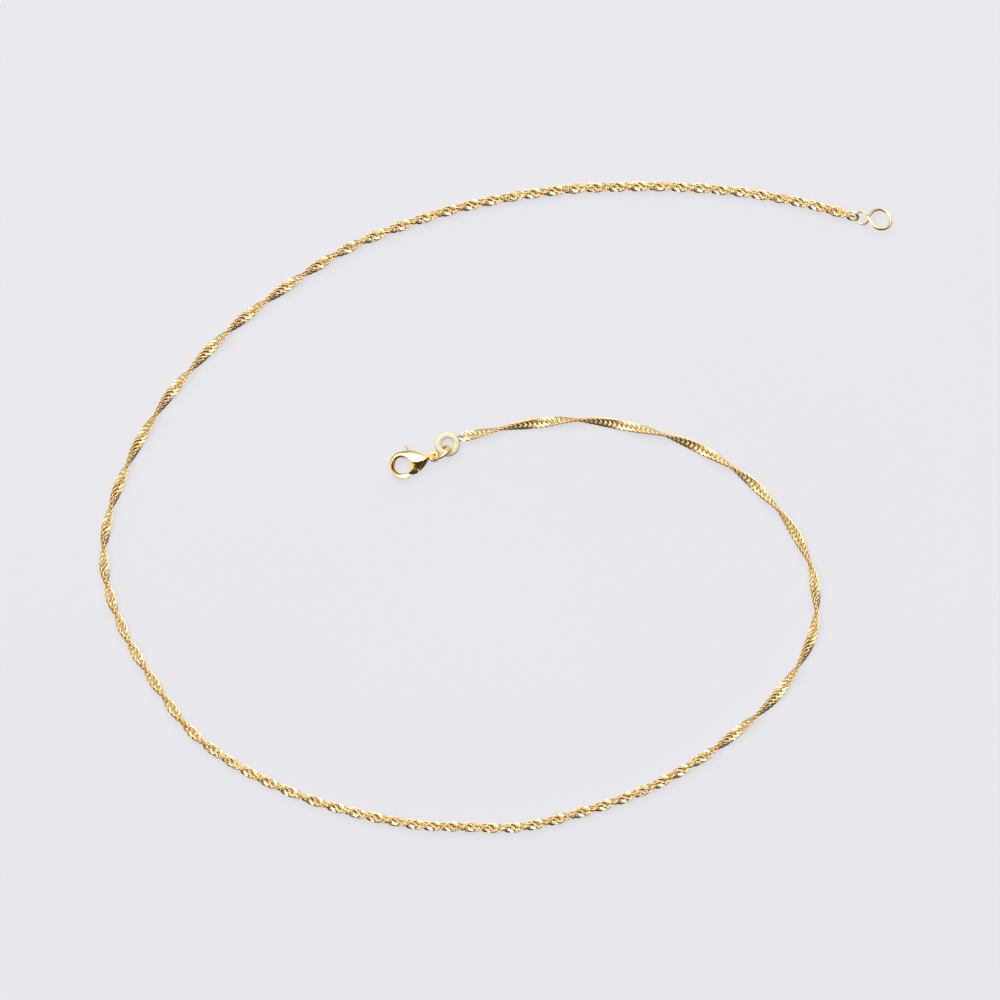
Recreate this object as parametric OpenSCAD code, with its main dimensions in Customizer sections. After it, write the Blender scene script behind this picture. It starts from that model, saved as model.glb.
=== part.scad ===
// Singapore chain necklace, 18 inches long, lying open on a flat surface.
// A twisted double curb chain with a lobster clasp, a jump ring and a flat tag ring at one end,
// and a jump ring and a drop shaped end ring at the other.
// Millimetres. X runs to the right, Y away from the viewer and Z up, and the surface is z = 0.

/* [Chain] */
// Width of the flat chain, across its links
band_w = 1.85; // [1.5:0.05:2.1]
// Steps of the chain's tube between two points of its route
steps_per_span = 2; // [1:1:2]

/* [Clasp] */
// Place of the clasp's hook opening, along X
clasp_x = -17.05; // [-17.3:0.05:-16.8]
// Place of the clasp's hook opening, along Y
clasp_y = 7.45; // [7.2:0.05:7.7]
// Turn of the clasp's long axis from X, in degrees
clasp_turn = 17.3; // [14:0.1:20]
// Thickness of the clasp's body where it is fattest
clasp_h = 2.7; // [2.6:0.05:3]
// Distance from the hook opening's centre to the eye's centre
eye_at = 5.95; // [5.9:0.05:6]
// Radius of the eye's ring, at the middle of its wire
eye_r = 0.77; // [0.76:0.01:0.8]
// Wire diameter of the eye
eye_wire = 0.54; // [0.5:0.02:0.56]
// Diameter of the lever's pivot pin
pin_d = 0.5; // [0.4:0.05:0.6]
// Thickness of the lever and its thumb tab
lever_t = 0.64; // [0.56:0.02:0.7]
// Radial clearance of the lever's bore round the pin
pin_fit = 0.05; // [0.03:0.01:0.08]
// Gap between the lever and each cheek of the clasp
cheek_gap = 0.08; // [0.05:0.01:0.12]

/* [Tag ring] */
// Outer diameter of the flat tag ring
tag_d = 4.5; // [4.3:0.05:4.6]
// Diameter of its hole
tag_hole = 2.3; // [2.2:0.05:2.4]
// Its thickness
tag_t = 0.45; // [0.35:0.05:0.5]
// Bevel of its edges
tag_bevel = 0.08; // [0.04:0.02:0.12]
// Radius of the small soldered loop that holds the first link
loop_r = 0.5; // [0.45:0.01:0.55]
// Wire diameter of the loop
loop_wire = 0.28; // [0.24:0.02:0.3]

/* [Rings] */
// Radius of the clasp's jump ring, at the middle of its wire
clasp_ring_r = 1.75; // [1.7:0.01:1.8]
// Wire diameter of the clasp's jump ring
clasp_ring_wire = 0.6; // [0.54:0.02:0.62]
// Radius of the end ring's round part, at the middle of its wire
end_ring_r = 2; // [1.96:0.01:2.04]
// Distance from its centre to where its two straight sides would cross, at its point
end_ring_point = 2.43; // [2.4:0.01:2.46]
// Wire diameter of the end ring
end_ring_wire = 0.52; // [0.46:0.02:0.54]
// Radius of the small ring that is soldered to its point and holds the last link
end_eye_r = 1.19; // [1.18:0.01:1.2]
// Wire diameter of the small ring
end_eye_wire = 0.38; // [0.34:0.02:0.4]

/* [Hidden] */
gold = "#D9AE4E";
pale_gold = "#EBD596";

// Route of the chain's middle line, from the tag ring to the end ring
ROUTE = [
    [-5.5, 13], [4.5, 15], [15.5, 16], [26, 14.5], [36, 11.5], [46, 5.5], [54, -3],
    [58.5, -12.5], [58.5, -23.5], [52.5, -34], [44.5, -41.5], [37, -47], [28, -52],
    [17, -56], [5, -59], [-6, -59], [-15.5, -58.5], [-27.5, -56], [-38, -52.5],
    [-48, -47.5], [-56, -41.5], [-62.5, -33], [-68.5, -23], [-72, -12.5], [-71.5, -2.5],
    [-67.5, 8.5], [-62, 18], [-56, 25.5], [-48, 33.5], [-38, 41], [-28.5, 47],
    [-19.5, 51], [-9, 54.5], [2, 57], [13, 58.5], [22.5, 59], [33.5, 59], [45.5, 58],
    [57, 56], [66, 53.5]];
TUBE_SIDES = 8;
chain_z = band_w / 2;
// The tube is flat underneath, so its corners stand a little outside the chain's width
tube_corner_r = chain_z / cos(180 / TUBE_SIDES);

// Sections of the clasp, from its neck round the hook to the tip, in the clasp's own frame.
// Columns: inner edge u and v, outer edge u and v, half height, where the ridge lies across
// the section, from 0 at the inner edge to 1 at the outer edge, and the fullness of the inner
// side, where 1 is lean and 2 is round
clasp_half = clasp_h / 2;
CLASP_SECTIONS = [
    [5.10, -0.16,  5.10,  0.42,  0.46, 0.50, 1.1],
    [4.75, -0.40,  4.75,  0.72,  0.90, 0.46, 1.1],
    [4.20, -0.85,  4.20,  1.22,  1.14, 0.43, 1.1],
    [3.50, -1.36,  3.50,  1.76,  1.28, 0.41, 1.1],
    [2.75, -1.68,  2.75,  2.25,  clasp_half, 0.41, 1.1],
    [2.20, -1.45,  2.10,  2.54,  1.32, 0.41, 1.1],
    [1.78, -0.60,  1.45,  2.65,  1.24, 0.42, 1.1],
    [1.50,  0.25,  0.75,  2.75,  1.10, 0.46, 1.1],
    [0.85,  1.22, -0.10,  2.80,  0.88, 0.52, 1.1],
    [-0.10, 1.70, -0.85,  2.64,  0.74, 0.50, 1.1],
    [-0.95, 1.42, -1.60,  2.15,  0.64, 0.54, 1.1],
    [-1.45, 0.60, -2.24,  1.14,  0.58, 0.64, 1.1],
    [-1.55, -0.20, -2.42, -0.08, 0.56, 0.74, 1.1],
    [-1.25, -0.82, -2.06, -1.22, 0.56, 0.78, 1.15],
    [-0.65, -1.16, -1.22, -1.92, 0.56, 0.82, 2.0],
    [0.00, -1.34, -0.25, -2.22,  0.54, 0.84, 2.6],
    [0.26, -1.46, 0.30, -2.28,   0.52, 0.82, 2.6],
    [0.52, -1.60, 0.80, -2.14,   0.40, 0.70, 2.4]];
SECTION_STEPS = 3;
SECTION_POINTS = 24;
// A section is soft at its ridge and full on its outer side
INNER_RIDGE_POWER = 1.18;
OUTER_RIDGE_POWER = 1.5;
OUTER_POWER = 2.5;

// The lever pivots in the body; outlines are in the clasp's own frame, gate shut
pivot = [2.3, 0.9];
LEVER = [
    [0.58, -1.41], [0.95, -0.98], [1.30, -0.58], [1.62, 0.10], [1.72, 0.90], [1.56, 1.70],
    [1.44, 2.45], [1.52, 3.00], [1.38, 3.80], [1.46, 3.92], [1.64, 3.88], [1.84, 3.02],
    [1.84, 2.50], [2.02, 1.80], [2.62, 1.40], [2.86, 0.90], [2.70, 0.30], [2.44, -0.50],
    [2.34, -1.62], [1.72, -1.92], [1.28, -1.93], [1.00, -1.83], [0.78, -1.69], [0.62, -1.56]];
SLOT = [
    [1.25, 3.20], [1.32, 1.80], [1.10, 0.90], [0.70, 0.20], [0.70, -2.40], [2.48, -2.40],
    [2.62, -0.50], [2.96, 0.20], [3.14, 0.90], [2.94, 1.60], [3.22, 2.10], [3.22, 3.20]];
slot_h = lever_t + 2 * cheek_gap;

function mix(a, b, t) = a + (b - a) * t;
function catmull(a, b, c, d, t) =
    0.5 * (2 * b + (c - a) * t + (2 * a - 5 * b + 4 * c - d) * t * t
           + (3 * b - a - 3 * c + d) * t * t * t);
function spline_at(P, i, t) =
    let (n = len(P) - 1,
         before = i > 0 ? P[i - 1] : 2 * P[0] - P[1],
         after = i + 2 <= n ? P[i + 2] : 2 * P[n] - P[n - 1])
    catmull(before, P[i], P[i + 1], after, t);
function spline(P, steps) =
    [for (i = [0 : len(P) - 2], k = [0 : steps - 1]) spline_at(P, i, k / steps), P[len(P) - 1]];

// Skin of a sweep through rings of points, with both ends closed
module skin(rings) {
    n = len(rings[0]);
    m = len(rings);
    sides = [for (k = [0 : m - 2], j = [0 : n - 1])
        let (a = k * n + j, b = k * n + (j + 1) % n)
        each [[a, b, a + n], [b, b + n, a + n]]];
    start = [[for (j = [n - 1 : -1 : 0]) j]];
    end = [[for (j = [0 : n - 1]) (m - 1) * n + j]];
    polyhedron(points = [for (r = rings) each r], faces = concat(sides, start, end));
}

// Skin of a sweep that closes on itself
module closed_skin(rings) {
    n = len(rings[0]);
    m = len(rings);
    faces = [for (k = [0 : m - 1], j = [0 : n - 1])
        let (a = k * n + j, b = k * n + (j + 1) % n,
             c = ((k + 1) % m) * n + j, d = ((k + 1) % m) * n + (j + 1) % n)
        each [[a, b, c], [b, d, c]]];
    polyhedron(points = [for (r = rings) each r], faces = faces);
}

// Part of the chain's tube, from one step of the route to another
module chain_tube(first, last) {
    path = spline(ROUTE, steps_per_span);
    end = len(path) - 1;
    skin([for (k = [first : last])
        let (ahead = path[min(k + 1, end)] - path[max(k - 1, 0)],
             side = [-ahead[1], ahead[0]] / norm(ahead))
        [for (j = [0 : TUBE_SIDES - 1])
            let (a = 360 * (j + 0.5) / TUBE_SIDES, s = tube_corner_r * cos(a))
            [path[k][0] + s * side[0], path[k][1] + s * side[1],
             chain_z + tube_corner_r * sin(a)]]]);
}
chain_steps = (len(ROUTE) - 1) * steps_per_span;
chain_middle = floor(chain_steps / 2);

module chain_clasp_half() {
    color(gold) chain_tube(0, chain_middle);
}

module chain_ring_half() {
    color(gold) chain_tube(chain_middle, chain_steps);
}

// Puts the clasp's own frame in its place on the surface
module at_clasp() {
    translate([clasp_x, clasp_y, clasp_half]) rotate([0, 0, clasp_turn]) children();
}

function power(v, p) = sign(v) * pow(abs(v), p);

// One section of the clasp: a ring of points between its inner and outer edge
function clasp_section(s) =
    let (inner = [s[0], s[1]], outer = [s[2], s[3]], ridge = mix(inner, outer, s[5]))
    [for (j = [0 : SECTION_POINTS - 1])
        let (a = 360 * j / SECTION_POINTS,
             outside = cos(a) > 0,
             x = power(cos(a), 2 / (outside ? OUTER_RIDGE_POWER : INNER_RIDGE_POWER)),
             z = power(sin(a), 2 / (outside ? OUTER_POWER : s[6])) * s[4],
             edge = x > 0 ? outer - ridge : ridge - inner)
        [ridge[0] + x * edge[0], ridge[1] + x * edge[1], z]];

module clasp_shell() {
    skin([for (s = spline(CLASP_SECTIONS, SECTION_STEPS)) clasp_section(s)]);
}

module ring(radius, wire) {
    rotate_extrude($fn = 64) translate([radius, 0]) circle(d = wire, $fn = 24);
}

module clasp_body() {
    color(gold) at_clasp() {
        difference() {
            clasp_shell();
            translate([0, 0, -slot_h / 2]) linear_extrude(height = slot_h) polygon(SLOT);
        }
        translate([pivot[0], pivot[1], -1.15]) cylinder(d = pin_d, h = 2.3, $fn = 32);
        translate([eye_at, 0.12, 0]) ring(eye_r, eye_wire);
    }
}

module clasp_lever() {
    color(pale_gold) at_clasp() difference() {
        translate([0, 0, -lever_t / 2]) linear_extrude(height = lever_t) polygon(LEVER);
        translate([pivot[0], pivot[1], -lever_t])
            cylinder(d = pin_d + 2 * pin_fit, h = 2 * lever_t, $fn = 32);
    }
}

// A ring that leans: its plane turns about a level axis
module leaning(at, axis_turn, lean) {
    translate(at) rotate([0, 0, axis_turn]) rotate([lean, 0, 0]) children();
}

module clasp_ring() {
    color(gold) leaning([-9.95, 10, 1.96], 34, -68) ring(clasp_ring_r, clasp_ring_wire);
}

module tag_ring() {
    inner = tag_hole / 2;
    outer = tag_d / 2;
    half = tag_t / 2;
    color(pale_gold) {
        translate([-8.85, 11.5, 1.1]) rotate_extrude($fn = 96) polygon([
            [inner, -half + tag_bevel], [inner + tag_bevel, -half],
            [outer - tag_bevel, -half], [outer, -half + tag_bevel],
            [outer, half - tag_bevel], [outer - tag_bevel, half],
            [inner + tag_bevel, half], [inner, half - tag_bevel]]);
        leaning([-6.6, 12.7, 0.95], 15, 22) ring(loop_r, loop_wire);
    }
}

// The end ring's middle line: round, with two straight sides that meet in a rounded point
DROP_STEPS = 60;
DROP_SIDES = 12;
POINT_ROUNDING = 3;
function drop_point(a) =
    let (straight_from = acos(end_ring_r / end_ring_point),
         off_point = norm([a, POINT_ROUNDING]),
         r = end_ring_r / cos(max(0, straight_from - off_point)))
    [-r * cos(a), -r * sin(a)];

module drop_ring() {
    turns = [for (k = [0 : DROP_STEPS - 1]) 360 * k / DROP_STEPS - 180];
    closed_skin([for (a = turns)
        let (p = drop_point(a), ahead = drop_point(a + 1) - drop_point(a - 1),
             out = [ahead[1], -ahead[0]] / norm(ahead))
        [for (j = [0 : DROP_SIDES - 1])
            let (b = 360 * j / DROP_SIDES, s = end_ring_wire / 2 * cos(b))
            [p[0] + s * out[0], p[1] + s * out[1], end_ring_wire / 2 * sin(b)]]]);
}

// The ring lies tipped: one side rests on the surface and the point is held up by the chain
POINT_TURN = 28.6;
module end_ring() {
    color(gold) {
        leaning([70.95, 53.02, 1.16], -35, -26.8) rotate([0, 0, POINT_TURN]) drop_ring();
        leaning([67.64, 53.27, 1.11], -50.4, 32.7) ring(end_eye_r, end_eye_wire);
    }
}

chain_clasp_half();
chain_ring_half();
clasp_body();
clasp_lever();
clasp_ring();
tag_ring();
end_ring();
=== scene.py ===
# %% [markdown]
# A singapore chain necklace lies open on a pale light table, seen from straight above.
# The construction model gives the frame: real sizes, one origin, and the clasp's hinge.
# Here the plain tubes of the chain become real links, and the metal gets its finish.
# Blender works in metres, but a jeweller thinks in millimetres, so every number below is in
# millimetres and is turned into metres once, when a piece is made.

# %% Load the frame
import math
import bmesh
import bpy
import numpy as np
from mathutils import Matrix, Vector


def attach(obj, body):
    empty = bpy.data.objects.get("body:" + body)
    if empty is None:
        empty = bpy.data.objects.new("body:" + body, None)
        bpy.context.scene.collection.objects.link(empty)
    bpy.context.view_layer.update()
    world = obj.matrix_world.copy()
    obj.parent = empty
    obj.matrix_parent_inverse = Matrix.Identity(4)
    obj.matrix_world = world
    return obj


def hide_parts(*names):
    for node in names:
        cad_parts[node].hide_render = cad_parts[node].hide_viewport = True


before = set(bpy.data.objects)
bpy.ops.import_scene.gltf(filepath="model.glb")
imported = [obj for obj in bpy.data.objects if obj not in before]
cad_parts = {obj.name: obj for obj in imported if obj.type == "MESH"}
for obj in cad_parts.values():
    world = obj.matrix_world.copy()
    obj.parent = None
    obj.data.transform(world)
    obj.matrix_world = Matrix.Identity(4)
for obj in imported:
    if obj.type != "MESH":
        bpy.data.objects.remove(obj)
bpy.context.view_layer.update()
MM = 0.001

# %% [markdown]
# A catalogue picture of jewellery is taken from straight above with a long lens, so that the
# sides of the chain don't splay outward. An orthographic camera would do it too, but a long
# lens keeps the slight perspective that a real one has. The view is 184.4 mm wide at the
# height of the chain's top.

# %% Camera
VIEW_WIDTH = 184.4
CAMERA_AT = (0.83, 1.24, 1200.0)
CHAIN_TOP = 1.0
SENSOR = 36.0

camera_data = bpy.data.cameras.new("camera")
camera_data.sensor_width = SENSOR
camera_data.lens = SENSOR * (CAMERA_AT[2] - CHAIN_TOP) / VIEW_WIDTH
camera_data.dof.use_dof = False
camera = bpy.data.objects.new("camera", camera_data)
camera.location = Vector(CAMERA_AT) * MM
bpy.context.scene.collection.objects.link(camera)
bpy.context.scene.camera = camera
print("lens of", round(camera_data.lens, 1), "mm")

# %% [markdown]
# Colours are written as the hex codes that a screen shows. Blender mixes light in linear
# numbers, so one function turns the one into the other.

# %% Colours
def linear(hex_code):
    """Turns an sRGB hex code into linear red, green, blue and alpha."""
    parts = [int(hex_code[i:i + 2], 16) / 255 for i in (1, 3, 5)]
    return [p / 12.92 if p <= 0.04045 else ((p + 0.055) / 1.055) ** 2.4 for p in parts] + [1.0]


print("mid gold is", [round(v, 3) for v in linear("#D9AE4E")])

# %% [markdown]
# Every material is a small tree of nodes. One function adds a node, fills in its settings,
# and links its inputs, so that each tree below reads as a list of what the metal is.

# %% Adding a node
def add_node(tree, kind, settings=None, links=None):
    """Adds a node. Settings are inputs by name or number, or else the node's own properties."""
    node = tree.nodes.new(kind)
    for key, value in (settings or {}).items():
        if isinstance(key, int) or key in node.inputs:
            node.inputs[key].default_value = value
        else:
            setattr(node, key, value)
    for key, (source, output) in (links or {}).items():
        tree.links.new(source.outputs[output], node.inputs[key])
    return node


def new_material(name):
    """Makes an empty node material."""
    material = bpy.data.materials.new(name)
    material.use_nodes = True
    material.node_tree.nodes.clear()
    return material


def per_metre(size_mm):
    """Scale of a noise texture whose spots are this many millimetres across."""
    return 1.0 / (size_mm * MM)


# %% [markdown]
# Every part is brass under a thin plate of pale yellow gold, which is a little greener than
# pure gold, because silver and copper are alloyed in. Polished metal has no colour of its own
# in the shade: it shows what stands round it, tinted by the alloy. So the base colour is the
# tint, metallic is 1, and what differs from part to part is how the surface was made, which
# sets its roughness and its fine relief. All the golds share one recipe: two near tints that
# drift into each other, as a buffing wheel leaves them, a roughness that drifts as well, and a
# fine relief. Its real grain is too fine to show, so it is drawn as coarse as it needs to be.

# %% Gold in its finishes
def gold_material(name, tints, drift_mm, roughness, relief_mm, relief_depth):
    """A polished or satin gold, from its tints, its lowest and highest roughness, and the
    size in mm of the spots in which both drift. The relief has a size and a depth in mm."""
    material = new_material(name)
    tree = material.node_tree
    place = add_node(tree, "ShaderNodeTexCoord")
    # Most of a noise lies between 0.3 and 0.7, so these ranges make use of all of it
    drift = add_node(tree, "ShaderNodeTexNoise",
                     {"Scale": per_metre(drift_mm), "Detail": 3.0, "Roughness": 0.55},
                     {"Vector": (place, "Object")})
    tint = add_node(tree, "ShaderNodeValToRGB", {}, {"Fac": (drift, "Fac")})
    for stop, position, colour in zip(tint.color_ramp.elements, (0.35, 0.65), tints):
        stop.position = position
        stop.color = linear(colour)
    gloss = add_node(tree, "ShaderNodeMapRange",
                     {"From Min": 0.3, "From Max": 0.7, "To Min": roughness[0],
                      "To Max": roughness[1]}, {"Value": (drift, "Fac")})
    grain = add_node(tree, "ShaderNodeTexNoise",
                     {"Scale": per_metre(relief_mm), "Detail": 2.0},
                     {"Vector": (place, "Object")})
    relief = add_node(tree, "ShaderNodeBump",
                      {"Strength": 1.0, "Distance": relief_depth * MM},
                      {"Height": (grain, "Fac")})
    metal = add_node(tree, "ShaderNodeBsdfPrincipled", {"Metallic": 1.0},
                     {"Base Color": (tint, "Color"), "Roughness": (gloss, "Result"),
                      "Normal": (relief, "Normal")})
    add_node(tree, "ShaderNodeOutputMaterial", {}, {"Surface": (metal, "BSDF")})
    print(name, "made, with tints", tints[0], "and", tints[1])
    return material


# %% [markdown]
# The chain's wire is drawn, woven into links, soldered, twisted, and then its flat sides are
# cut with a diamond tool. A cut flat throws a whole patch of light back at once, so it flashes
# white, and the round wire between the flats stays deep gold. The tool's fine marks blur what
# they mirror, so the finish is a little soft.

# %% Diamond cut chain gold
chain_gold = gold_material("gold plate on diamond cut wire", ("#F5DBA0", "#EAC682"), 2.5,
                           (0.22, 0.30), 0.12, 0.002)

# %% [markdown]
# The clasp is cast and tumbled with steel shot, which leaves a high polish with a faint
# waviness half a millimetre long.

# %% Cast and tumbled gold
clasp_gold = gold_material("gold plate on tumbled casting", ("#FADFA0", "#F3D086"), 1.5,
                           (0.06, 0.12), 0.5, 0.0015)

# %% [markdown]
# The lever is stamped from strip. It isn't buffed inside the clasp, so it stays duller than the
# casting round it. Its tints are set darker as painted shade, for the gate that lies in shade.

# %% Stamped strip gold, tinted darker as painted shade
lever_gold_darkened_as_shade = gold_material("gold plate on stamped strip with painted shade", ("#E2C584", "#CFA862"), 0.8,
                           (0.18, 0.30), 0.10, 0.003)

# %% [markdown]
# The tag ring is punched from rolled sheet and left satin. Satin gold spreads the light of the
# whole room, so it shows a soft cream instead of sharp reflections, and its tint is set darker.

# %% Satin rolled gold
tag_gold = gold_material("satin gold plate on rolled sheet", ("#C3B99C", "#BFB395"), 1.2,
                         (0.36, 0.40), 0.12, 0.0005)

# %% [markdown]
# The jump ring and the end ring are bent from drawn round wire and polished.

# %% Drawn wire gold
ring_gold = gold_material("gold plate on drawn wire", ("#FADFA0", "#F1CD82"), 1.2,
                          (0.08, 0.16), 0.25, 0.0015)

# %% [markdown]
# A piece is a mesh made from a table of points in millimetres. These helpers make the mesh,
# give it its metal, tell the frame which body it rides on, and hide the construction node that
# it takes the place of.

# %% Making a piece
def add_object(name, mesh):
    """Puts a mesh into the scene as an object."""
    thing = bpy.data.objects.new(name, mesh)
    bpy.context.scene.collection.objects.link(thing)
    return thing


def mesh_from(name, points, faces):
    """A mesh in millimetres from points and faces."""
    mesh = bpy.data.meshes.new(name)
    mesh.from_pydata([tuple(p) for p in points], [], [tuple(f) for f in faces])
    mesh.validate()
    return mesh


def finish_piece(thing, material, body, node, sharp_angle=None):
    """Turns millimetres to metres and hands the piece over to the frame. Edges sharper than
    the angle, in degrees, stay sharp, and the rest is shaded smooth."""
    thing.data.transform(Matrix.Scale(MM, 4))
    thing.data.materials.clear()
    thing.data.materials.append(material)
    if sharp_angle is not None:
        thing.data.shade_smooth()
        thing.data.set_sharp_from_angle(angle=math.radians(sharp_angle))
    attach(thing, body)
    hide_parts(node)
    thing.data.calc_loop_triangles()
    print(thing.name, "has", len(thing.data.loop_triangles), "triangles")


# %% [markdown]
# Most parts here are sweeps: rings of points, one after the other, joined by a skin. A ring
# shaped part closes on itself, and any other gets a lid at both ends.

# %% Skin over rings of points
def skin_faces(rings, sides, closed):
    """Quads between neighbouring rings of points, and lids unless the sweep is closed."""
    faces = []
    for k in range(rings if closed else rings - 1):
        here = k * sides
        there = ((k + 1) % rings) * sides
        for j in range(sides):
            after = (j + 1) % sides
            faces.append((here + j, here + after, there + after, there + j))
    if not closed:
        faces.append(tuple(range(sides - 1, -1, -1)))
        faces.append(tuple((rings - 1) * sides + j for j in range(sides)))
    return faces


def swept_mesh(name, rings, closed):
    """Mesh of a sweep, from an array of rings by points by three, its faces looking out."""
    rings = np.asarray(rings, dtype=float)
    mesh = mesh_from(name, rings.reshape(-1, 3),
                     skin_faces(rings.shape[0], rings.shape[1], closed))
    shell = bmesh.new()
    shell.from_mesh(mesh)
    if shell.calc_volume(signed=True) < 0:
        mesh.flip_normals()
    shell.free()
    return mesh


# %% [markdown]
# The chain lies along listed points, the same ones as in the construction model, and a
# smooth curve runs through them. A Catmull-Rom curve passes through each of its points, so
# the chain lies exactly where it was seen. Only the last point is 0.15 mm short of the
# construction's, so that the last links clear the ring that holds them.

# %% Route of the chain
ROUTE = [
    (-5.5, 13), (4.5, 15), (15.5, 16), (26, 14.5), (36, 11.5), (46, 5.5), (54, -3),
    (58.5, -12.5), (58.5, -23.5), (52.5, -34), (44.5, -41.5), (37, -47), (28, -52),
    (17, -56), (5, -59), (-6, -59), (-15.5, -58.5), (-27.5, -56), (-38, -52.5),
    (-48, -47.5), (-56, -41.5), (-62.5, -33), (-68.5, -23), (-72, -12.5), (-71.5, -2.5),
    (-67.5, 8.5), (-62, 18), (-56, 25.5), (-48, 33.5), (-38, 41), (-28.5, 47),
    (-19.5, 51), (-9, 54.5), (2, 57), (13, 58.5), (22.5, 59), (33.5, 59), (45.5, 58),
    (57, 56), (65.85, 53.54)]


def catmull_rom(points, steps):
    """Smooth curve through the points, with this many steps from each to the next."""
    p = np.asarray(points, dtype=float)
    p = np.vstack([2 * p[0] - p[1], p, 2 * p[-1] - p[-2]])
    out = []
    for i in range(1, len(p) - 2):
        for t in np.arange(steps) / steps:
            a, b, c, d = p[i - 1:i + 3]
            out.append(0.5 * (2 * b + (c - a) * t + (2 * a - 5 * b + 4 * c - d) * t ** 2
                              + (3 * b - a - 3 * c + d) * t ** 3))
    out.append(p[-2])
    return np.array(out)


ROUTE_STEPS = 40
line = catmull_rom(ROUTE, ROUTE_STEPS)
line_at = np.concatenate([[0], np.cumsum(np.linalg.norm(np.diff(line, axis=0), axis=1))])
CHAIN_LENGTH = line_at[-1]
print("the chain is", round(CHAIN_LENGTH, 1), "mm long")

# %% [markdown]
# A singapore chain is a double curb chain that has been twisted. Lying free, it doesn't
# twist evenly: some stretches are tight and others almost flat. The table gives how many half
# turns the chain has made at some places along it, counted where the flat band turns
# its edge to the viewer. Its first and last rows were then set so that the end links clear
# their rings. The twist is left-handed. It is smoothed over seven links to either side, because
# a chain can't twist suddenly. Beyond its ends it is taken to go on at the same rate.

# %% Twist of the chain
# Millimetres along the chain, half turns made
TWIST = [
    (0, 0.1), (6.8, 0.5), (20.5, 1.5), (37.4, 2.5), (51.6, 3.5), (62.5, 4.5), (74.7, 5.5),
    (82.6, 6.5), (94, 7.5), (106.4, 8.5), (117, 9.5), (125.5, 11.5), (140.5, 15.5),
    (150.3, 17.5), (166, 21.5), (179.5, 25.5), (195, 29.5), (201.4, 30.5), (208, 32.5),
    (216, 34.5), (228, 36.5), (240, 38.5), (251, 40.5), (258, 41.5), (265.5, 42.5),
    (273.6, 43.5), (284.5, 44.5), (295, 45.5), (305.2, 46.5), (313.5, 47.5), (323.3, 48.5),
    (334.9, 50.5), (345, 52.5), (354, 54.5), (373.4, 59.5), (393, 64.5), (411.6, 69.5),
    (425.4, 73.5), (CHAIN_LENGTH, 73.8)]
PITCH = 0.825
SMOOTHED_LINKS = 7

link_count = int(round(CHAIN_LENGTH / PITCH)) + 1
stations = np.linspace(0, CHAIN_LENGTH, link_count)
half_turns = np.interp(stations, *np.array(TWIST).T)
padded = np.concatenate([2 * half_turns[0] - half_turns[SMOOTHED_LINKS:0:-1], half_turns,
                         2 * half_turns[-1] - half_turns[-2:-SMOOTHED_LINKS - 2:-1]])
window = np.ones(2 * SMOOTHED_LINKS + 1) / (2 * SMOOTHED_LINKS + 1)
half_turns = np.convolve(padded, window, mode="valid")
turn = -math.pi * half_turns
print(link_count, "links,", round(half_turns[-1] / 2, 1), "full turns")

# %% [markdown]
# The band is 1.85 mm wide but only 0.6 mm thick. Where it stands on edge its middle is high,
# and where it lies flat for long it sinks almost to the table. Between the two its height is
# that of a turned ellipse, and a little more for the corners of the band, which reach past the
# ellipse. Each link's middle follows the tallest links near it, smoothed, and both ends are
# held at the height of the rings, which fades out over the 8 mm next to them.

# %% Height of the chain
BAND_WIDTH = 1.85
BAND_THICKNESS = 0.6
CORNER_REACH = 0.034
CLASP_END_HEIGHT = 0.925
RING_END_HEIGHT = 1.225
HELD_LENGTH = 8.0
NEAR_LINKS = 3

edge_up = BAND_WIDTH / 2 * np.abs(np.sin(turn))
flat_up = BAND_THICKNESS / 2 * np.abs(np.cos(turn))
resting = np.hypot(edge_up, flat_up) + CORNER_REACH
height = np.array([resting[max(0, i - NEAR_LINKS):i + NEAR_LINKS + 1].max()
                   for i in range(link_count)])
soft = np.ones(2 * NEAR_LINKS + 1) / (2 * NEAR_LINKS + 1)
height = np.convolve(np.pad(height, NEAR_LINKS, mode="edge"), soft, mode="valid")
from_end = np.minimum(stations, CHAIN_LENGTH - stations)
held = np.clip(1 - from_end / HELD_LENGTH, 0, 1)
held = held * held * (3 - 2 * held)
end_height = np.where(stations < CHAIN_LENGTH / 2, CLASP_END_HEIGHT, RING_END_HEIGHT)
height = height * (1 - held) + end_height * held
middle = np.column_stack([np.interp(stations, line_at, line[:, 0]),
                          np.interp(stations, line_at, line[:, 1]), height])
print("middle of the links runs from", round(height.min(), 2), "to",
      round(height.max(), 2), "mm high")

# %% [markdown]
# One link is a ring of wire, bent into a gentle double wave, so that each link passes through
# the two before it without touching. Rolling has flattened the wire, most of all on top of its
# waves, and diamond cutting then slices those tops off, a little lower towards the band's
# rims. Each ring of points has four steps down either side of the wire and one edge across its
# top and bottom, and where the wire rises above the cut, that edge widens into the flat.

# %% One link
# The wire's width and height, and what rolling adds between the link's corners and at its ends
WIRE_WIDTH = 0.193
SIDE_SPREAD = 0.204
END_SPREAD = 0.13
WIRE_HEIGHT = 0.183
END_HEIGHT = 0.1
END_POWER = 3
# The link's middle line: its size, how pointed it is, its double wave and the wave's flat top
HALF_LENGTH = 1.072
HALF_WIDTH = (BAND_WIDTH - WIRE_WIDTH) / 2
CORNER_POWER = 1.112
WAVE = 0.149
WAVE_FLATTENING = 0.024
# Height of the cut over the band's middle, and how much it falls for each mm towards a rim
CUT_HEIGHT = 0.268
CUT_SLOPE = 0.106
STEPS_ROUND = 34
SIDE_STEPS = 4
# How far up the wire's side the edge across an uncut top sits, and how deep a cut may reach, as
# a share of the wire's half height
ROUNDEST = math.radians(72)
DEEPEST = -0.9
SMALL_TURN = 0.01


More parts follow.
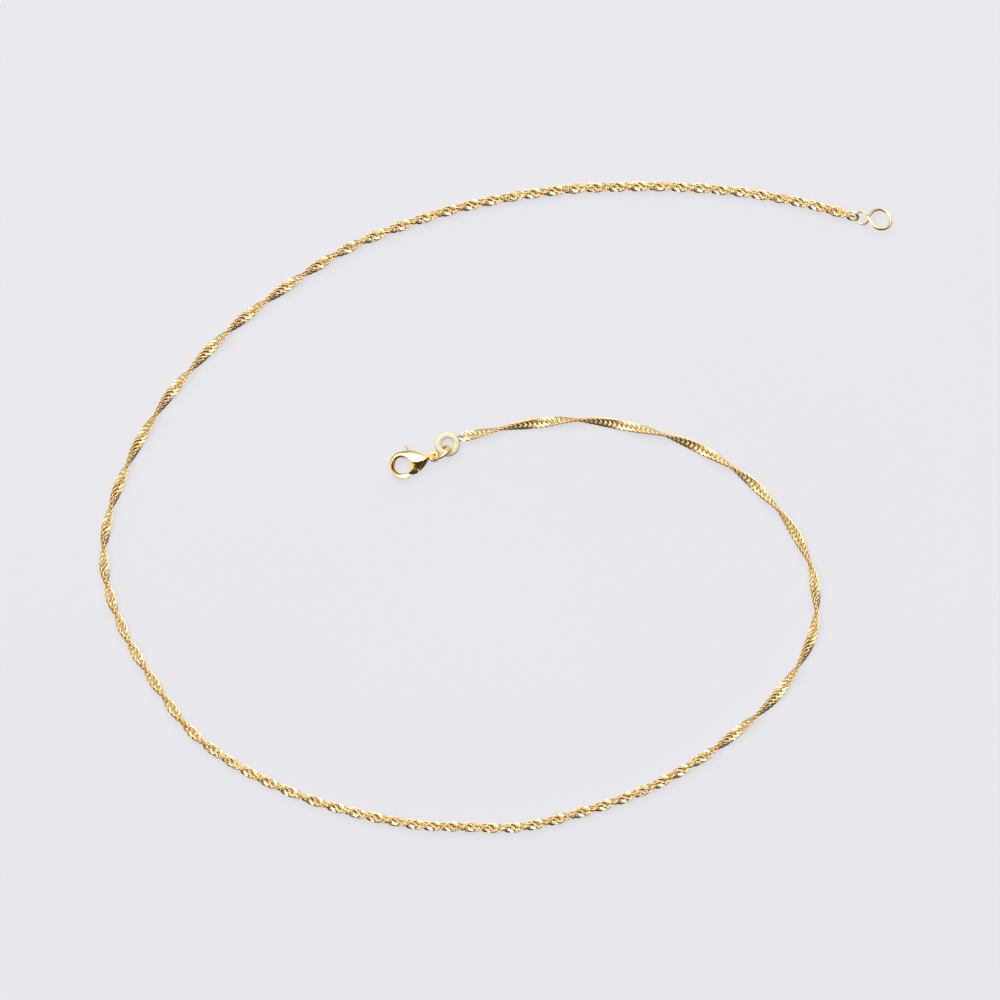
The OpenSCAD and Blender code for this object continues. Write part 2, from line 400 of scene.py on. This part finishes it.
def link_middle(a):
    """Point of the link's middle line, along, across and normal to the band."""
    along_band = math.copysign(abs(math.cos(a)) ** CORNER_POWER, math.cos(a))
    across_band = math.copysign(abs(math.sin(a)) ** CORNER_POWER, math.sin(a))
    return Vector((HALF_LENGTH * along_band, HALF_WIDTH * across_band,
                   WAVE * math.sin(2 * a) + WAVE_FLATTENING * math.sin(6 * a)))


def link_shape():
    """Points of one link, along, across and normal to the band, and which faces are cut."""
    points = []
    cut_top = []
    cut_bottom = []
    for k in range(STEPS_ROUND):
        a = 2 * math.pi * k / STEPS_ROUND
        centre = link_middle(a)
        ahead = (link_middle(a + SMALL_TURN) - link_middle(a - SMALL_TURN)).normalized()
        out = ahead.cross(Vector((0, 0, 1))).normalized()
        up = out.cross(ahead)
        cut = CUT_HEIGHT - CUT_SLOPE * abs(centre.y)
        end_share = abs(math.cos(a)) ** END_POWER
        half_wide = (WIRE_WIDTH + SIDE_SPREAD * abs(math.sin(2 * a)) + END_SPREAD * end_share) / 2
        half_high = (WIRE_HEIGHT + END_HEIGHT * end_share) / 2
        reach = [(cut - side * centre.z) / (half_high * up.z) for side in (1, -1)]
        top, bottom = [min(ROUNDEST, math.asin(max(DEEPEST, min(1.0, r)))) for r in reach]
        cut_top.append(top < ROUNDEST)
        cut_bottom.append(bottom < ROUNDEST)
        down = [top + (-bottom - top) * j / SIDE_STEPS for j in range(SIDE_STEPS + 1)]
        angles = down + [math.pi - b for b in reversed(down)]
        for b in angles:
            points.append(centre + half_wide * math.cos(b) * out
                          + half_high * math.sin(b) * up)
    sides = 2 * SIDE_STEPS + 2
    flat = []
    for k in range(STEPS_ROUND):
        after = (k + 1) % STEPS_ROUND
        for j in range(sides):
            is_top = j == sides - 1 and (cut_top[k] or cut_top[after])
            is_bottom = j == SIDE_STEPS and (cut_bottom[k] or cut_bottom[after])
            flat.append(is_top or is_bottom)
    return np.array(points), skin_faces(STEPS_ROUND, sides, True), np.array(flat)


link_points, link_faces, link_flat = link_shape()
print("a link has", len(link_faces), "faces,", int(link_flat.sum()), "of them cut flat")

# %% [markdown]
# Each link is the same shape, set at its place on the route and turned by the twist. The links
# are real, separate rings that pass through each other. They could be instances, but one mesh
# for each half of the chain is easier to hand over, and it replaces one construction tube.

# %% The links of the chain
steps = np.gradient(middle, axis=0)
along = steps / np.linalg.norm(steps, axis=1)[:, None]
level = np.cross([0, 0, 1], along)
level = level / np.linalg.norm(level, axis=1)[:, None]
rising = np.cross(along, level)


def chain_piece(name, first, last, node):
    """Mesh of the links from one number to another."""
    count = last - first
    points = np.empty((count, len(link_points), 3))
    for i in range(count):
        k = first + i
        across = math.cos(turn[k]) * level[k] + math.sin(turn[k]) * rising[k]
        normal = math.cos(turn[k]) * rising[k] - math.sin(turn[k]) * level[k]
        points[i] = middle[k] + link_points @ np.array([along[k], across, normal])
    offsets = (np.arange(count) * len(link_points))[:, None, None]
    faces = (np.array(link_faces)[None] + offsets).reshape(-1, 4)
    mesh = bpy.data.meshes.new(name)
    mesh.from_pydata(points.reshape(-1, 3), [], faces.tolist())
    mesh.polygons.foreach_set("use_smooth", ~np.tile(link_flat, count))
    thing = add_object(name, mesh)
    finish_piece(thing, chain_gold, "necklace", node)


half_way = link_count // 2
chain_piece("links_clasp_half", 0, half_way, "chain_clasp_half")
chain_piece("links_ring_half", half_way, link_count, "chain_ring_half")

# %% [markdown]
# The clasp is one casting: a fat teardrop body that narrows into a hook. It is shaped by
# sections across its own curve, from the neck round to the hook's tip. Each section has an
# inner edge, an outer edge, a height, and a soft ridge between them. It is full on its outer
# side, and lean on its inner side except under the hook's tip. The same table as in the
# construction model is swept here with many more steps, so that reflections run smoothly.
# Places in the clasp are given as u, along it from the hook to the eye, and v, across it.

# %% Sections of the clasp
# Inner edge u and v, outer edge u and v, half height, ridge place from inner 0 to outer 1,
# and the fullness of the inner side, where 1 is lean and 2 is round
CLASP_SECTIONS = [
    (5.10, -0.16, 5.10, 0.42, 0.46, 0.50, 1.1),
    (4.75, -0.40, 4.75, 0.72, 0.90, 0.46, 1.1),
    (4.20, -0.85, 4.20, 1.22, 1.14, 0.43, 1.1),
    (3.50, -1.36, 3.50, 1.76, 1.28, 0.41, 1.1),
    (2.75, -1.68, 2.75, 2.25, 1.35, 0.41, 1.1),
    (2.20, -1.45, 2.10, 2.54, 1.32, 0.41, 1.1),
    (1.78, -0.60, 1.45, 2.65, 1.24, 0.42, 1.1),
    (1.50, 0.25, 0.75, 2.75, 1.10, 0.46, 1.1),
    (0.85, 1.22, -0.10, 2.80, 0.88, 0.52, 1.1),
    (-0.10, 1.70, -0.85, 2.64, 0.74, 0.50, 1.1),
    (-0.95, 1.42, -1.60, 2.15, 0.64, 0.54, 1.1),
    (-1.45, 0.60, -2.24, 1.14, 0.58, 0.64, 1.1),
    (-1.55, -0.20, -2.42, -0.08, 0.56, 0.74, 1.1),
    (-1.25, -0.82, -2.06, -1.22, 0.56, 0.78, 1.15),
    (-0.65, -1.16, -1.22, -1.92, 0.56, 0.82, 2.0),
    (0.00, -1.34, -0.25, -2.22, 0.54, 0.84, 2.6),
    (0.26, -1.46, 0.30, -2.28, 0.52, 0.82, 2.6),
    (0.52, -1.57, 0.82, -2.13, 0.40, 0.70, 2.4)]
# A power of 2 makes an ellipse, below that a section is lean, with a crest, and above it full
SECTION_STEPS = 10
SECTION_POINTS = 48
INNER_RIDGE_POWER = 1.18
OUTER_RIDGE_POWER = 1.5
OUTER_POWER = 2.5
CLASP_PLACE = Matrix.Translation((-17.05, 7.45, 1.35)) @ Matrix.Rotation(
    math.radians(17.3), 4, "Z")


def section_ring(row, count, outer_powers, inner_powers):
    """Ring of points between the inner and outer edge of one section. Each side has a power
    for its shape along the section and one for its shape in height."""
    inner = np.array(row[0:2])
    outer = np.array(row[2:4])
    ridge = inner + (outer - inner) * row[5]
    ring = []
    for a in np.arange(count) * 2 * math.pi / count:
        x_power, z_power = outer_powers if math.cos(a) > 0 else inner_powers
        x = math.copysign(abs(math.cos(a)) ** (2 / x_power), math.cos(a))
        z = math.copysign(abs(math.sin(a)) ** (2 / z_power), math.sin(a)) * row[4]
        edge = outer - ridge if x > 0 else ridge - inner
        ring.append((*(ridge + x * edge), z))
    return ring


clasp_rings = [section_ring(row, SECTION_POINTS, (OUTER_RIDGE_POWER, OUTER_POWER),
                            (INNER_RIDGE_POWER, row[6]))
               for row in catmull_rom(CLASP_SECTIONS, SECTION_STEPS)]
print("the clasp is swept through", len(clasp_rings), "sections")

# %% [markdown]
# The slot for the lever is cut out of the sweep with a boolean, as a mill would cut the wax,
# and the eye and the pin are joined on. Booleans are done in millimetres, because they lose
# precision on meshes a few thousandths of a metre long.

# %% Cutting and joining
def boolean(target, tool, operation):
    """Cuts the tool out of the target or joins it on, and removes the tool."""
    modifier = target.modifiers.new("boolean", "BOOLEAN")
    modifier.operation = operation
    modifier.solver = "EXACT"
    modifier.object = tool
    graph = bpy.context.evaluated_depsgraph_get()
    result = bpy.data.meshes.new_from_object(target.evaluated_get(graph))
    target.modifiers.clear()
    target.data = result
    bpy.data.objects.remove(tool)


def prism(name, outline, low, high):
    """An upright prism over an outline."""
    rings = [[(x, y, z) for x, y in outline] for z in (low, high)]
    return add_object(name, swept_mesh(name, rings, False))


def circle(radius, count):
    """Points of a circle."""
    turns = np.arange(count) * 2 * math.pi / count
    return [(radius * math.cos(t), radius * math.sin(t)) for t in turns]


# %% Body of the clasp
SLOT_HALF = 0.4
# Outline of the slot, u and v
SLOT = [
    (1.25, 3.20), (1.32, 1.80), (1.10, 0.90), (0.70, 0.20), (0.70, -2.40), (2.48, -2.40),
    (2.62, -0.50), (2.96, 0.20), (3.14, 0.90), (2.94, 1.60), (3.22, 2.10), (3.22, 3.20)]
PIVOT = (2.3, 0.9)
PIN_RADIUS = 0.25
PIN_HALF = 1.15
PIN_POINTS = 40
EYE_AT = (5.95, 0.12)
EYE_RADIUS = 0.77
EYE_WIRE = 0.54
RING_STEPS = 96
WIRE_SIDES = 24


def round_wire(centre, out, radius):
    """Circle of points round a level wire, from its middle and the direction outward."""
    return [(*(centre + radius * x * out), radius * y) for x, y in circle(1, WIRE_SIDES)]


def ring_rings(radius, wire):
    """Rings of points of a round wire ring that lies flat at the origin."""
    return np.array([round_wire(radius * out, out, wire / 2)
                     for out in np.array(circle(1, RING_STEPS))])


clasp_body = add_object("clasp_casting", swept_mesh("clasp_casting", clasp_rings, False))
boolean(clasp_body, prism("slot", SLOT, -SLOT_HALF, SLOT_HALF), "DIFFERENCE")
eye_rings = ring_rings(EYE_RADIUS, EYE_WIRE) + (*EYE_AT, 0)
boolean(clasp_body, add_object("eye", swept_mesh("eye", eye_rings, True)), "UNION")
pin_outline = [(x + PIVOT[0], y + PIVOT[1]) for x, y in circle(PIN_RADIUS, PIN_POINTS)]
boolean(clasp_body, prism("pin", pin_outline, -PIN_HALF, PIN_HALF), "UNION")
clasp_body.data.transform(CLASP_PLACE)
finish_piece(clasp_body, clasp_gold, "necklace", "clasp_body", sharp_angle=32)

# %% [markdown]
# The lever is stamped from strip and its rims are rolled round, so that it doesn't catch on
# cloth. It is swept like the body, from the gate's tip past the pivot to the tip of the thumb
# tab. Its sections are nearly square, but for the gate, which slopes down to its outer edge. A
# bore for the pin is cut through it, with 0.05 mm of play, so that it can swing.

# %% Lever of the clasp
# Inner edge u and v, outer edge u and v, half height, ridge place from inner 0 to outer 1,
# and the fullness of the outer side, where 1 is lean and 3 is square
LEVER_SECTIONS = [
    (0.58, -1.44, 0.66, -1.60, 0.22, 0.30, 1.3),
    (0.68, -1.28, 0.90, -1.82, 0.30, 0.28, 1.3),
    (0.95, -0.98, 1.42, -2.00, 0.34, 0.25, 1.3),
    (1.28, -0.58, 2.36, -1.84, 0.36, 0.25, 1.3),
    (1.50, -0.15, 2.46, -0.70, 0.34, 0.30, 1.8),
    (1.62, 0.30, 2.68, 0.28, 0.32, 0.50, 3.2),
    (1.70, 0.90, 2.84, 0.90, 0.32, 0.50, 3.2),
    (1.60, 1.55, 2.52, 1.46, 0.32, 0.50, 3.2),
    (1.50, 2.10, 2.00, 1.95, 0.32, 0.50, 3.2),
    (1.46, 2.50, 1.84, 2.46, 0.32, 0.50, 3.2),
    (1.52, 2.95, 1.84, 3.00, 0.32, 0.50, 3.2),
    (1.45, 3.45, 1.74, 3.50, 0.32, 0.50, 3.2),
    (1.40, 3.80, 1.64, 3.84, 0.30, 0.50, 3.2),
    (1.45, 3.92, 1.58, 3.93, 0.22, 0.50, 3.2)]
LEVER_POWER = 3.2
LEVER_STEPS = 6
LEVER_POINTS = 40
BORE_RADIUS = 0.30
BORE_HALF = 1.0

lever_rings = [section_ring(row, LEVER_POINTS, (row[6], row[6]), (LEVER_POWER, LEVER_POWER))
               for row in catmull_rom(LEVER_SECTIONS, LEVER_STEPS)]
lever = add_object("lever_stamping", swept_mesh("lever_stamping", lever_rings, False))
bore = [(x + PIVOT[0], y + PIVOT[1]) for x, y in circle(BORE_RADIUS, PIN_POINTS)]
boolean(lever, prism("bore", bore, -BORE_HALF, BORE_HALF), "DIFFERENCE")
lever.data.transform(CLASP_PLACE)
finish_piece(lever, lever_gold_darkened_as_shade, "lever", "clasp_lever", sharp_angle=50)

# %% [markdown]
# The jump ring is bent from round wire and closed, and a fine butt seam shows where its two
# ends meet, each with a small chamfer. It leans on its neighbours, because it passes through
# them: its plane is turned about the upright axis and then tipped.

# %% Jump ring
JUMP_RADIUS = 1.75
JUMP_WIRE = 0.6
SEAM_TURN = math.radians(250)
SEAM_GAP = 0.03
SEAM_CHAMFER = 0.02
SEAM_CLEAR = 0.08
JUMP_STEPS = 110


def leaning(at, axis_turn, lean):
    """Place of a ring whose plane leans about a level axis."""
    return (Matrix.Translation(at) @ Matrix.Rotation(math.radians(axis_turn), 4, "Z")
            @ Matrix.Rotation(math.radians(lean), 4, "X"))


JUMP_PLACE = leaning((-9.95, 10, 1.96), 34, -68)

# Turn from the seam, and the wire's radius there
opening = SEAM_GAP / JUMP_RADIUS / 2
start = [(opening, JUMP_WIRE / 2 - SEAM_CHAMFER),
         (opening + SEAM_CHAMFER / JUMP_RADIUS, JUMP_WIRE / 2)]
turns = np.linspace(SEAM_CLEAR, 2 * math.pi - SEAM_CLEAR, JUMP_STEPS)
way_round = (start + [(t, JUMP_WIRE / 2) for t in turns]
             + [(2 * math.pi - t, r) for t, r in reversed(start)])

jump_rings = []
for t, r in way_round:
    out = np.array([math.cos(t + SEAM_TURN), math.sin(t + SEAM_TURN)])
    jump_rings.append(round_wire(JUMP_RADIUS * out, out, r))
jump_ring = add_object("clasp_jump_ring", swept_mesh("clasp_jump_ring", jump_rings, False))
jump_ring.data.transform(JUMP_PLACE)
finish_piece(jump_ring, ring_gold, "necklace", "clasp_ring", sharp_angle=40)

# %% [markdown]
# The end ring, which the clasp hooks into, is a drop: round on one side, with two straight
# sides that meet in a rounded point. The wire's middle line is a circle whose distance from
# the centre grows towards the point. A small ring is soldered to the point, and the last link
# of the chain passes through it.

# %% Drop shaped end ring
END_RING_RADIUS = 2.0
END_RING_POINT = 2.43
END_RING_WIRE = 0.52
END_RING_STEPS = 180
POINT_ROUNDING = math.radians(3)
POINT_TURN = math.radians(28.6)
END_RING_PLACE = (leaning((70.95, 53.02, 1.16), -35, -26.8)
                  @ Matrix.Rotation(POINT_TURN, 4, "Z"))
END_EYE_RADIUS = 1.19
END_EYE_WIRE = 0.38
END_EYE_PLACE = leaning((67.64, 53.27, 1.11), -50.4, 32.7)


def drop_point(turn_from_point):
    """Point of the drop's middle line, by its turn from the drop's point."""
    straight_from = math.acos(END_RING_RADIUS / END_RING_POINT)
    off_point = math.hypot(turn_from_point, POINT_ROUNDING)
    r = END_RING_RADIUS / math.cos(max(0, straight_from - off_point))
    return np.array([-r * math.cos(turn_from_point), -r * math.sin(turn_from_point)])


drop_rings = []
for t in np.linspace(-math.pi, math.pi, END_RING_STEPS, endpoint=False):
    p = drop_point(t)
    ahead = drop_point(t + SMALL_TURN) - drop_point(t - SMALL_TURN)
    out = np.array([ahead[1], -ahead[0]]) / np.linalg.norm(ahead)
    drop_rings.append(round_wire(p, out, END_RING_WIRE / 2))
end_ring = add_object("end_ring_wire", swept_mesh("end_ring_wire", drop_rings, True))
end_ring.data.transform(END_RING_PLACE)
eye_mesh = swept_mesh("end_eye", ring_rings(END_EYE_RADIUS, END_EYE_WIRE), True)
eye_mesh.transform(END_EYE_PLACE)
boolean(end_ring, add_object("end_eye", eye_mesh), "UNION")
finish_piece(end_ring, ring_gold, "necklace", "end_ring", sharp_angle=40)

# %% [markdown]
# The tag ring is a flat washer, where a maker might stamp the gold's fineness. Here it stays
# plain. Punching and tumbling leave its rims rounded, so its outline is turned like a lathe
# part with a quarter round at each corner. A small loop is soldered on for the first link.

# %% Tag ring and its loop
TAG_RADIUS = 2.25
TAG_HOLE = 1.15
TAG_HALF = 0.225
TAG_ROUND = 0.12
ROUND_POINTS = 7
TAG_STEPS = 128
TAG_AT = (-8.85, 11.5, 1.1)
LOOP_PLACE = leaning((-6.6, 12.7, 0.95), 15, 22)
LOOP_RADIUS = 0.5
LOOP_WIRE = 0.28


def washer_section():
    """Corner points of the washer's section, as distance from the axis and height."""
    corners = [(TAG_RADIUS - TAG_ROUND, TAG_HALF - TAG_ROUND, 0),
               (TAG_HOLE + TAG_ROUND, TAG_HALF - TAG_ROUND, 90),
               (TAG_HOLE + TAG_ROUND, TAG_ROUND - TAG_HALF, 180),
               (TAG_RADIUS - TAG_ROUND, TAG_ROUND - TAG_HALF, 270)]
    section = []
    for r, z, start in corners:
        for a in np.radians(start + np.linspace(0, 90, ROUND_POINTS)):
            section.append((r + TAG_ROUND * math.cos(a), z + TAG_ROUND * math.sin(a)))
    return section


tag_rings = []
for t in np.arange(TAG_STEPS) * 2 * math.pi / TAG_STEPS:
    tag_rings.append([(r * math.cos(t), r * math.sin(t), z) for r, z in washer_section()])
tag = add_object("tag_washer", swept_mesh("tag_washer", tag_rings, True))
tag.data.transform(Matrix.Translation(TAG_AT))
loop_mesh = swept_mesh("tag_loop", ring_rings(LOOP_RADIUS, LOOP_WIRE), True)
loop_mesh.transform(LOOP_PLACE)
boolean(tag, add_object("tag_loop", loop_mesh), "UNION")
finish_piece(tag, tag_gold, "necklace", "tag_ring", sharp_angle=40)

# %% [markdown]
# The table is an opal light table: it glows almost evenly, so that nothing throws a hard
# shadow, and only a little of its light comes from above, which leaves a faint shade under the
# metal. Cast acrylic is a bit cloudy, here in patches of six centimetres. Its glow and the
# light that a mid grey sheet throws back give the pale ground of the picture together.

# %% Pale table
TABLE_HALF = 4000
CLOUD_SIZE = 60
DIMMEST_GLOW = 0.73
BRIGHTEST_GLOW = 0.74
CORNERS = [(-1, -1), (1, -1), (1, 1), (-1, 1)]

opal = new_material("opal acrylic sheet")
tree = opal.node_tree
place = add_node(tree, "ShaderNodeTexCoord")
cloud = add_node(tree, "ShaderNodeTexNoise",
                 {"Scale": per_metre(CLOUD_SIZE), "Detail": 1.0},
                 {"Vector": (place, "Object")})
shade = add_node(tree, "ShaderNodeMapRange",
                 {"From Min": 0.0, "From Max": 1.0,
                  "To Min": DIMMEST_GLOW, "To Max": BRIGHTEST_GLOW},
                 {"Value": (cloud, "Fac")})
sheet = add_node(tree, "ShaderNodeBsdfPrincipled",
                 {"Base Color": linear("#5A5A5D"), "Roughness": 0.8,
                  "Emission Color": linear("#F0EFF4")},
                 {"Emission Strength": (shade, "Result")})
add_node(tree, "ShaderNodeOutputMaterial", {}, {"Surface": (sheet, "BSDF")})
table = add_object("light_table", mesh_from(
    "light_table", [(TABLE_HALF * x, TABLE_HALF * y, 0) for x, y in CORNERS], [(0, 1, 2, 3)]))
table.data.transform(Matrix.Scale(MM, 4))
table.data.materials.append(opal)
table.visible_glossy = False
print("table material:", opal.name)

# %% [markdown]
# Polished metal is lit by what it mirrors. One big soft box stands high behind the chain, and
# the cut flats and the clasp's broad face show it as their white. A lamp of this kind gives
# off its light over its whole face, so its power is worked out from its size, for a given
# brightness.

# %% Soft box
BOX_AT = Vector((-250, 950, 1500)) * MM
BOX_WIDTH = 2400 * MM
BOX_HEIGHT = 1700 * MM
BOX_BRIGHTNESS = 3.2

box = bpy.data.lights.new("soft_box_behind", "AREA")
box.shape = "RECTANGLE"
box.size = BOX_WIDTH
box.size_y = BOX_HEIGHT
box.energy = BOX_BRIGHTNESS * math.pi * BOX_WIDTH * BOX_HEIGHT
lamp = bpy.data.objects.new("soft_box_behind", box)
lamp.location = BOX_AT
lamp.rotation_mode = "QUATERNION"
lamp.rotation_quaternion = (-BOX_AT).to_track_quat("-Z", "Y")
lamp.visible_camera = False
bpy.context.scene.collection.objects.link(lamp)
print("the soft box gives", round(box.energy, 1), "W")

# %% [markdown]
# The room itself is a gradient across the table: bright behind and to the left, softly lit
# overhead, and dark in front and to the right, which gives the metal its deep shadows. The dot
# product of a direction with the way to the dark side is a number from -1 to 1, and a ramp
# turns it into brightness. The table is left out of the metal's reflections, as in a catalogue
# picture that is cut out onto a plain ground. Only what looks steeply down sees a dim warm
# glow, of the ground right under the gold.

# %% Room
DARK_SIDE = (0.55, -0.835, 0.0)
GROUND_GLOW = (0.55, 0.46, 0.32)
# How far down a direction of length 1 points where the ground's glow starts and is full
GLOW_STARTS = -0.45
GLOW_FULL = -0.85
# Place between the bright side 0 and the dark side 1, then red, green and blue
WALL_STOPS = [
    (0.05, 0.50, 0.50, 0.50),
    (0.35, 1.20, 1.20, 1.20),
    (0.50, 1.02, 1.02, 1.02),
    (0.58, 0.76, 0.7296, 0.6992),
    (0.66, 0.24, 0.204, 0.168),
    (0.74, 0.06, 0.05, 0.035)]

world = bpy.data.worlds.new("room")
bpy.context.scene.world = world
world.use_nodes = True
tree = world.node_tree
tree.nodes.clear()
place = add_node(tree, "ShaderNodeTexCoord")
towards_dark = add_node(tree, "ShaderNodeVectorMath",
                        {"operation": "DOT_PRODUCT", 1: DARK_SIDE},
                        {0: (place, "Generated")})
side = add_node(tree, "ShaderNodeMapRange", {"From Min": -1.0, "From Max": 1.0},
                {"Value": (towards_dark, "Value")})
walls = add_node(tree, "ShaderNodeValToRGB", {}, {"Fac": (side, "Result")})
ramp = walls.color_ramp
ramp.elements[0].position = WALL_STOPS[0][0]
ramp.elements[1].position = WALL_STOPS[-1][0]
for row in WALL_STOPS[1:-1]:
    ramp.elements.new(row[0])
for stop, row in zip(ramp.elements, WALL_STOPS):
    stop.color = (*row[1:], 1)
height_of = add_node(tree, "ShaderNodeSeparateXYZ", {}, {"Vector": (place, "Generated")})
under = add_node(tree, "ShaderNodeMapRange",
                 {"From Min": GLOW_FULL, "From Max": GLOW_STARTS,
                  "To Min": 1.0, "To Max": 0.0},
                 {"Value": (height_of, "Z")})
glow = add_node(tree, "ShaderNodeVectorMath", {"operation": "SCALE", 0: GROUND_GLOW},
                {"Scale": (under, "Result")})
brighter = add_node(tree, "ShaderNodeVectorMath", {"operation": "MAXIMUM"},
                    {0: (walls, "Color"), 1: (glow, "Vector")})
air = add_node(tree, "ShaderNodeBackground", {"Strength": 1.0},
               {"Color": (brighter, "Vector")})
add_node(tree, "ShaderNodeOutputWorld", {}, {"Surface": (air, "Background")})
bpy.context.scene.view_settings.view_transform = "Standard"
print("room:", len(ramp.elements), "stops from the bright side to the dark side")
